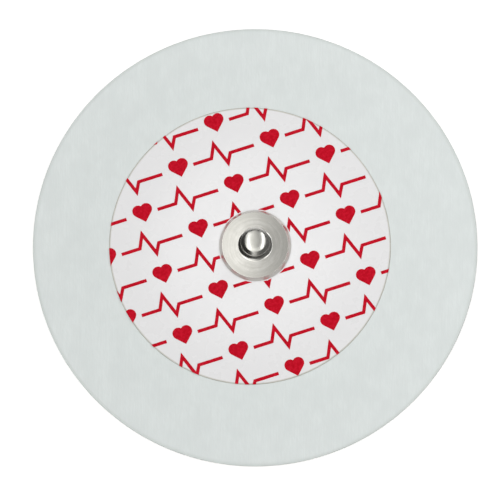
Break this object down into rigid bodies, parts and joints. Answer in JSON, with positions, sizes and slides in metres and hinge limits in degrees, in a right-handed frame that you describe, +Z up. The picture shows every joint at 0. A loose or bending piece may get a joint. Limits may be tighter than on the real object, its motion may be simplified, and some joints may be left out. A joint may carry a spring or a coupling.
{
  "type": "ecg electrode",
  "caption": "Round adhesive electrode for heart monitoring: a snap stud crimped to a plated sensor through a film label, on nonwoven tape with a gel pad.",
  "frame": {"origin": "on the stud's axis, at the skin face that the electrode lies on", "axes": "+Z up along the stud's axis, away from the skin; the label is shifted a little towards -X"},
  "size_m": [0.06, 0.06, 0.005],
  "materials": {
    "stud_steel": "bright drawn stainless steel",
    "sensor_plating": "moulded plastic plated with silver and silver chloride",
    "label_film": "glossy white film",
    "label_ink": "red printing ink",
    "tape_cloth": "fine nonwoven cloth with a coat of skin adhesive underneath",
    "gel_sponge": "wet gel in an open sponge"
  },
  "bodies": {
    "root": {"snap_stud": "stud_steel", "sensor_eyelet": "sensor_plating", "label_disc": "label_film", "label_print": "label_ink", "backing_tape": "tape_cloth", "gel_pad": "gel_sponge"}
  },
  "joints": []
}
